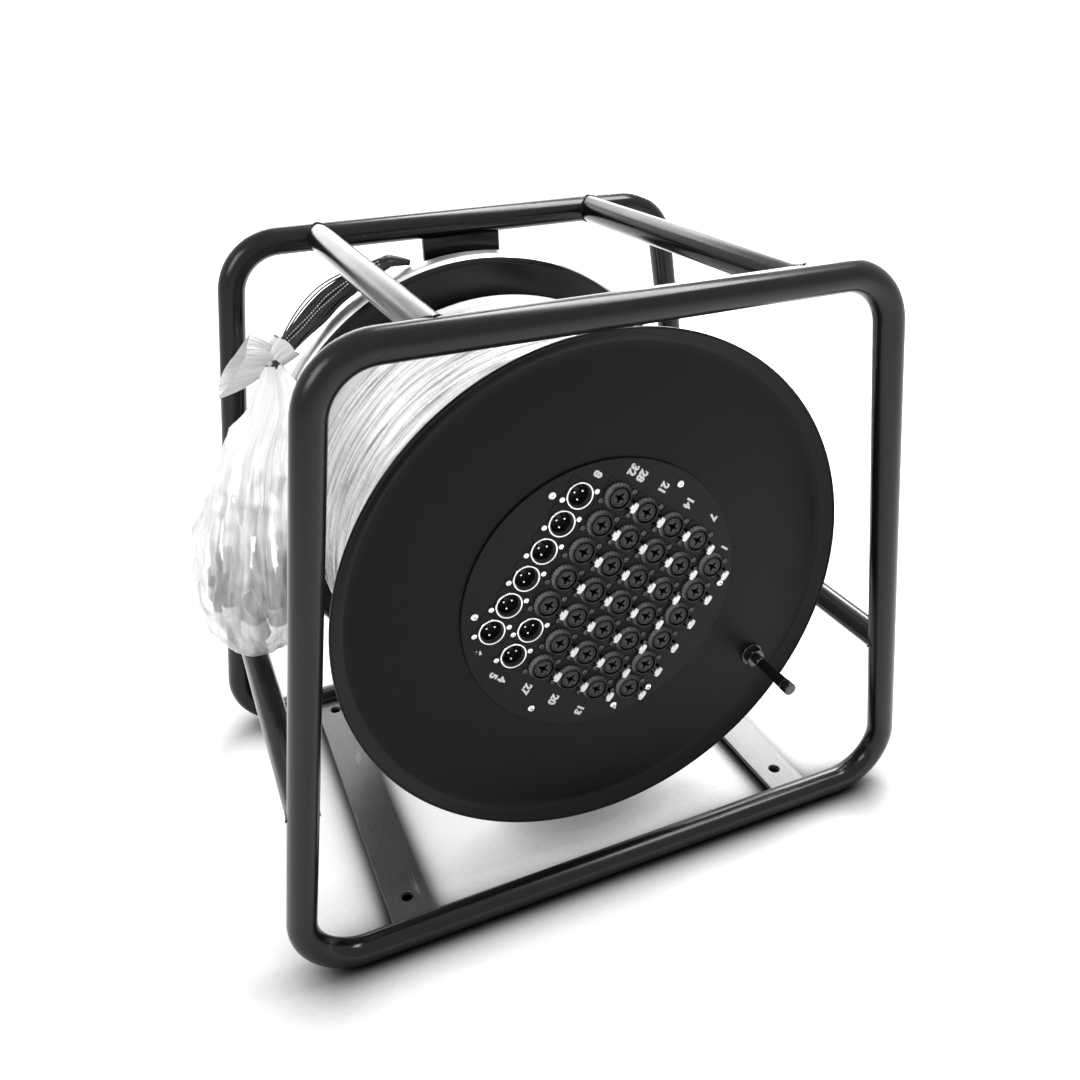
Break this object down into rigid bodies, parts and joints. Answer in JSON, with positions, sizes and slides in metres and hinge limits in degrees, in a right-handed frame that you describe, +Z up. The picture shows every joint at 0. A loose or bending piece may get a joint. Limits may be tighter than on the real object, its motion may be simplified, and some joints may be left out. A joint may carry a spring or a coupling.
{
  "type": "stage box snake",
  "caption": "Stage box on a hand-cranked cable drum in a tube frame, with a round panel of audio sockets and press latches, and bagged cable tails.",
  "frame": {"origin": "on the floor, in the middle under the tube frame", "axes": "+Z up, the socket panel faces -Y, the drum's axle runs along Y"},
  "size_m": [0.6264, 0.402, 0.549],
  "materials": {
    "frame_paint": "black powder coat, gloss",
    "strap_paint": "black powder coat, satin and scuffed",
    "drum_paint": "black paint, fine satin",
    "axle_steel": "zinc plated",
    "crank_steel": "zinc plated",
    "socket_black": "black, fine texture",
    "latch_metal": "satin nickel plate",
    "cable_film": "pale jacket under clear film",
    "tail_jacket": "black cable jacket, satin",
    "grip_plastic": "black, smooth",
    "bag_film": "clear polythene film"
  },
  "bodies": {
    "frame": {"front_hoop": "frame_paint", "rear_hoop": "frame_paint", "top_rail_left": "frame_paint", "top_rail_right": "frame_paint", "lower_rail_left": "frame_paint", "lower_rail_right": "frame_paint", "floor_strap_left": "strap_paint", "floor_strap_right": "strap_paint", "bearing_plate": "frame_paint", "axle": "axle_steel", "tail_lead": "tail_jacket", "tail_bag": "bag_film"},
    "drum": {"front_flange": "drum_paint", "rear_flange": "drum_paint", "drum_barrel": "drum_paint", "drum_web": "drum_paint", "drum_hub": "drum_paint", "cable_core": "cable_film", "cable_turns": "cable_film", "tail_core": "tail_jacket", "tail_turns": "tail_jacket", "connector_panel": "socket_black", "crank_stud": "crank_steel"},
    "grip": {"crank_grip": "grip_plastic"},
    "latch_01": {"latch_01": "latch_metal"},
    "latch_02": {"latch_02": "latch_metal"},
    "latch_03": {"latch_03": "latch_metal"},
    "latch_04": {"latch_04": "latch_metal"},
    "latch_05": {"latch_05": "latch_metal"},
    "latch_06": {"latch_06": "latch_metal"},
    "latch_07": {"latch_07": "latch_metal"},
    "latch_08": {"latch_08": "latch_metal"},
    "latch_09": {"latch_09": "latch_metal"},
    "latch_10": {"latch_10": "latch_metal"},
    "latch_11": {"latch_11": "latch_metal"},
    "latch_12": {"latch_12": "latch_metal"},
    "latch_13": {"latch_13": "latch_metal"},
    "latch_14": {"latch_14": "latch_metal"},
    "latch_15": {"latch_15": "latch_metal"},
    "latch_16": {"latch_16": "latch_metal"},
    "latch_17": {"latch_17": "latch_metal"},
    "latch_18": {"latch_18": "latch_metal"},
    "latch_19": {"latch_19": "latch_metal"},
    "latch_20": {"latch_20": "latch_metal"},
    "latch_21": {"latch_21": "latch_metal"},
    "latch_22": {"latch_22": "latch_metal"},
    "latch_23": {"latch_23": "latch_metal"},
    "latch_24": {"latch_24": "latch_metal"},
    "latch_25": {"latch_25": "latch_metal"},
    "latch_26": {"latch_26": "latch_metal"},
    "latch_27": {"latch_27": "latch_metal"},
    "latch_28": {"latch_28": "latch_metal"},
    "latch_29": {"latch_29": "latch_metal"},
    "latch_30": {"latch_30": "latch_metal"},
    "latch_31": {"latch_31": "latch_metal"},
    "latch_32": {"latch_32": "latch_metal"}
  },
  "joints": [
    {"name": "drum_spin", "type": "hinge", "parent": "frame", "child": "drum", "pos_m": [0, 0, 0.277], "axis": [0, 1, 0], "continuous": true},
    {"name": "grip_spin", "type": "hinge", "parent": "drum", "child": "grip", "pos_m": [0.16015, -0.17, 0.1693], "axis": [0, 1, 0], "continuous": true},
    {"name": "latch_01_press", "type": "slide", "parent": "drum", "child": "latch_01", "axis": [0, 1, 0], "range_m": [0, 0.0015], "stiffness_N_per_m": 800, "springref_m": -0.001},
    {"name": "latch_02_press", "type": "slide", "parent": "drum", "child": "latch_02", "axis": [0, 1, 0], "range_m": [0, 0.0015], "stiffness_N_per_m": 800, "springref_m": -0.001},
    {"name": "latch_03_press", "type": "slide", "parent": "drum", "child": "latch_03", "axis": [0, 1, 0], "range_m": [0, 0.0015], "stiffness_N_per_m": 800, "springref_m": -0.001},
    {"name": "latch_04_press", "type": "slide", "parent": "drum", "child": "latch_04", "axis": [0, 1, 0], "range_m": [0, 0.0015], "stiffness_N_per_m": 800, "springref_m": -0.001},
    {"name": "latch_05_press", "type": "slide", "parent": "drum", "child": "latch_05", "axis": [0, 1, 0], "range_m": [0, 0.0015], "stiffness_N_per_m": 800, "springref_m": -0.001},
    {"name": "latch_06_press", "type": "slide", "parent": "drum", "child": "latch_06", "axis": [0, 1, 0], "range_m": [0, 0.0015], "stiffness_N_per_m": 800, "springref_m": -0.001},
    {"name": "latch_07_press", "type": "slide", "parent": "drum", "child": "latch_07", "axis": [0, 1, 0], "range_m": [0, 0.0015], "stiffness_N_per_m": 800, "springref_m": -0.001},
    {"name": "latch_08_press", "type": "slide", "parent": "drum", "child": "latch_08", "axis": [0, 1, 0], "range_m": [0, 0.0015], "stiffness_N_per_m": 800, "springref_m": -0.001},
    {"name": "latch_09_press", "type": "slide", "parent": "drum", "child": "latch_09", "axis": [0, 1, 0], "range_m": [0, 0.0015], "stiffness_N_per_m": 800, "springref_m": -0.001},
    {"name": "latch_10_press", "type": "slide", "parent": "drum", "child": "latch_10", "axis": [0, 1, 0], "range_m": [0, 0.0015], "stiffness_N_per_m": 800, "springref_m": -0.001},
    {"name": "latch_11_press", "type": "slide", "parent": "drum", "child": "latch_11", "axis": [0, 1, 0], "range_m": [0, 0.0015], "stiffness_N_per_m": 800, "springref_m": -0.001},
    {"name": "latch_12_press", "type": "slide", "parent": "drum", "child": "latch_12", "axis": [0, 1, 0], "range_m": [0, 0.0015], "stiffness_N_per_m": 800, "springref_m": -0.001},
    {"name": "latch_13_press", "type": "slide", "parent": "drum", "child": "latch_13", "axis": [0, 1, 0], "range_m": [0, 0.0015], "stiffness_N_per_m": 800, "springref_m": -0.001},
    {"name": "latch_14_press", "type": "slide", "parent": "drum", "child": "latch_14", "axis": [0, 1, 0], "range_m": [0, 0.0015], "stiffness_N_per_m": 800, "springref_m": -0.001},
    {"name": "latch_15_press", "type": "slide", "parent": "drum", "child": "latch_15", "axis": [0, 1, 0], "range_m": [0, 0.0015], "stiffness_N_per_m": 800, "springref_m": -0.001},
    {"name": "latch_16_press", "type": "slide", "parent": "drum", "child": "latch_16", "axis": [0, 1, 0], "range_m": [0, 0.0015], "stiffness_N_per_m": 800, "springref_m": -0.001},
    {"name": "latch_17_press", "type": "slide", "parent": "drum", "child": "latch_17", "axis": [0, 1, 0], "range_m": [0, 0.0015], "stiffness_N_per_m": 800, "springref_m": -0.001},
    {"name": "latch_18_press", "type": "slide", "parent": "drum", "child": "latch_18", "axis": [0, 1, 0], "range_m": [0, 0.0015], "stiffness_N_per_m": 800, "springref_m": -0.001},
    {"name": "latch_19_press", "type": "slide", "parent": "drum", "child": "latch_19", "axis": [0, 1, 0], "range_m": [0, 0.0015], "stiffness_N_per_m": 800, "springref_m": -0.001},
    {"name": "latch_20_press", "type": "slide", "parent": "drum", "child": "latch_20", "axis": [0, 1, 0], "range_m": [0, 0.0015], "stiffness_N_per_m": 800, "springref_m": -0.001},
    {"name": "latch_21_press", "type": "slide", "parent": "drum", "child": "latch_21", "axis": [0, 1, 0], "range_m": [0, 0.0015], "stiffness_N_per_m": 800, "springref_m": -0.001},
    {"name": "latch_22_press", "type": "slide", "parent": "drum", "child": "latch_22", "axis": [0, 1, 0], "range_m": [0, 0.0015], "stiffness_N_per_m": 800, "springref_m": -0.001},
    {"name": "latch_23_press", "type": "slide", "parent": "drum", "child": "latch_23", "axis": [0, 1, 0], "range_m": [0, 0.0015], "stiffness_N_per_m": 800, "springref_m": -0.001},
    {"name": "latch_24_press", "type": "slide", "parent": "drum", "child": "latch_24", "axis": [0, 1, 0], "range_m": [0, 0.0015], "stiffness_N_per_m": 800, "springref_m": -0.001},
    {"name": "latch_25_press", "type": "slide", "parent": "drum", "child": "latch_25", "axis": [0, 1, 0], "range_m": [0, 0.0015], "stiffness_N_per_m": 800, "springref_m": -0.001},
    {"name": "latch_26_press", "type": "slide", "parent": "drum", "child": "latch_26", "axis": [0, 1, 0], "range_m": [0, 0.0015], "stiffness_N_per_m": 800, "springref_m": -0.001},
    {"name": "latch_27_press", "type": "slide", "parent": "drum", "child": "latch_27", "axis": [0, 1, 0], "range_m": [0, 0.0015], "stiffness_N_per_m": 800, "springref_m": -0.001},
    {"name": "latch_28_press", "type": "slide", "parent": "drum", "child": "latch_28", "axis": [0, 1, 0], "range_m": [0, 0.0015], "stiffness_N_per_m": 800, "springref_m": -0.001},
    {"name": "latch_29_press", "type": "slide", "parent": "drum", "child": "latch_29", "axis": [0, 1, 0], "range_m": [0, 0.0015], "stiffness_N_per_m": 800, "springref_m": -0.001},
    {"name": "latch_30_press", "type": "slide", "parent": "drum", "child": "latch_30", "axis": [0, 1, 0], "range_m": [0, 0.0015], "stiffness_N_per_m": 800, "springref_m": -0.001},
    {"name": "latch_31_press", "type": "slide", "parent": "drum", "child": "latch_31", "axis": [0, 1, 0], "range_m": [0, 0.0015], "stiffness_N_per_m": 800, "springref_m": -0.001},
    {"name": "latch_32_press", "type": "slide", "parent": "drum", "child": "latch_32", "axis": [0, 1, 0], "range_m": [0, 0.0015], "stiffness_N_per_m": 800, "springref_m": -0.001}
  ]
}
